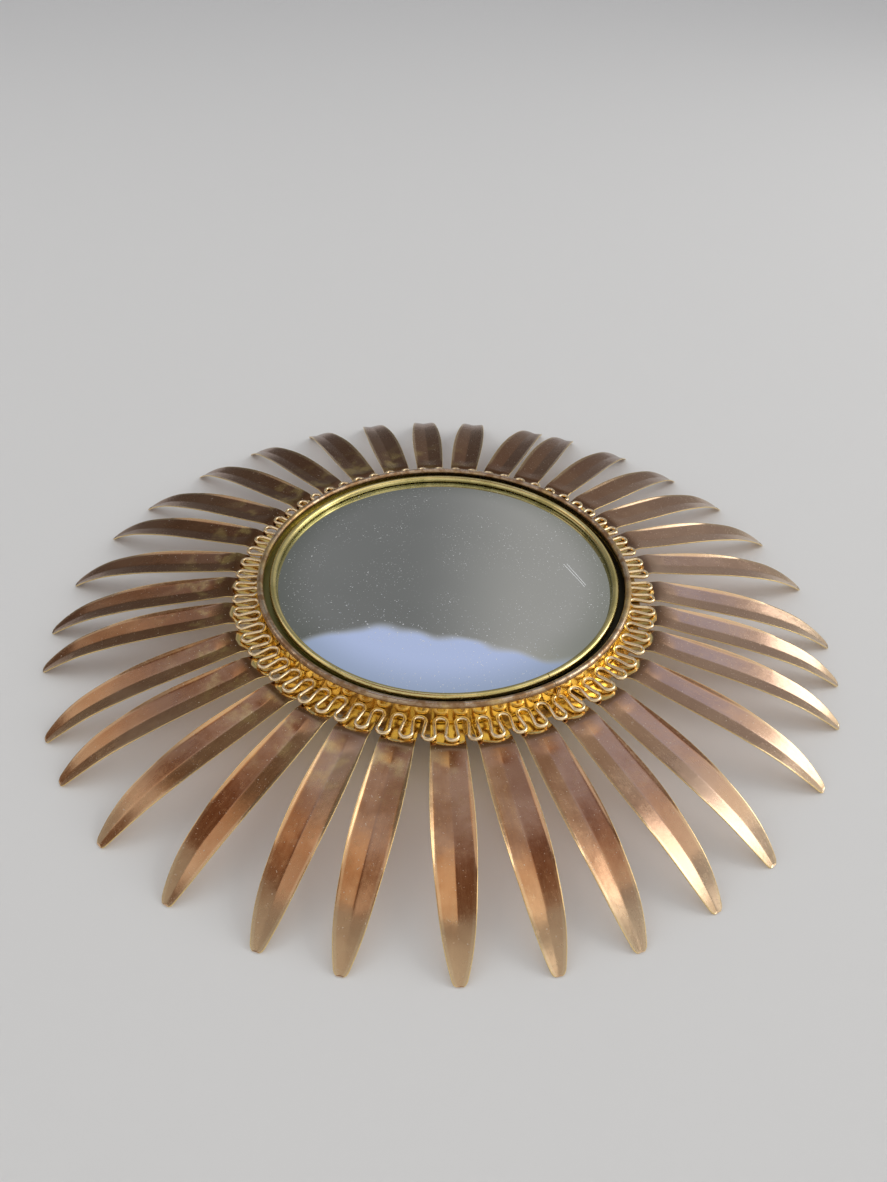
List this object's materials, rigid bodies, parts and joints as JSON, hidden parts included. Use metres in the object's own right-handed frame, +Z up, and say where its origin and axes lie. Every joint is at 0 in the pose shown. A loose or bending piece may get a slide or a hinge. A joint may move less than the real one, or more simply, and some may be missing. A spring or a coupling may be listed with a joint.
{
  "type": "sunburst mirror",
  "caption": "Round convex wall mirror in a brass sunburst frame: pressed curled rays, wire lace, beaded bezel, wooden back with a swinging hanging ring.",
  "frame": {"origin": "centre of the wooden back's rear face, which rests on the wall", "axes": "+Z up the wall, -Y out of the mirror's face into the room, +X to the right of a viewer who faces the mirror"},
  "size_m": [0.5305, 0.0457, 0.531],
  "materials": {
    "ray_brass": "worn, browned",
    "worn_brass": "worn",
    "pale_brass": "bright",
    "polished_brass": "polished",
    "mirror": "silvered glass",
    "felt": "felt",
    "card": "grey board",
    "plate_paint": "satin",
    "wood": "oiled",
    "steel": "zinc plated"
  },
  "bodies": {
    "frame": {"ray_01": "ray_brass", "ray_02": "ray_brass", "ray_03": "ray_brass", "ray_04": "ray_brass", "ray_05": "ray_brass", "ray_06": "ray_brass", "ray_07": "ray_brass", "ray_08": "ray_brass", "ray_09": "ray_brass", "ray_10": "ray_brass", "ray_11": "ray_brass", "ray_12": "ray_brass", "ray_13": "ray_brass", "ray_14": "ray_brass", "ray_15": "ray_brass", "ray_16": "ray_brass", "ray_17": "ray_brass", "ray_18": "ray_brass", "ray_19": "ray_brass", "ray_20": "ray_brass", "ray_21": "ray_brass", "ray_22": "ray_brass", "ray_23": "ray_brass", "ray_24": "ray_brass", "ray_25": "ray_brass", "ray_26": "ray_brass", "ray_27": "ray_brass", "ray_28": "ray_brass", "ray_29": "ray_brass", "ray_30": "ray_brass", "ray_31": "ray_brass", "ray_32": "ray_brass", "ray_33": "ray_brass", "mirror_glass": "mirror", "drum_band": "polished_brass", "outer_bead": "worn_brass", "inner_ring": "pale_brass", "felt_seat": "felt", "packing_ring": "card", "backing_board": "card", "back_plate": "plate_paint", "base_ring": "polished_brass", "wire_lace": "pale_brass", "wood_back": "wood", "back_screws": "steel", "back_nuts": "steel", "hanger_plate": "steel", "hanger_screws": "steel"},
    "hanging_ring": {"hanging_ring": "steel"}
  },
  "joints": [
    {"name": "ring_swing", "type": "hinge", "parent": "frame", "child": "hanging_ring", "pos_m": [0, -0.00765, 0.052], "axis": [1, 0, 0], "range_deg": [0, 180]}
  ]
}
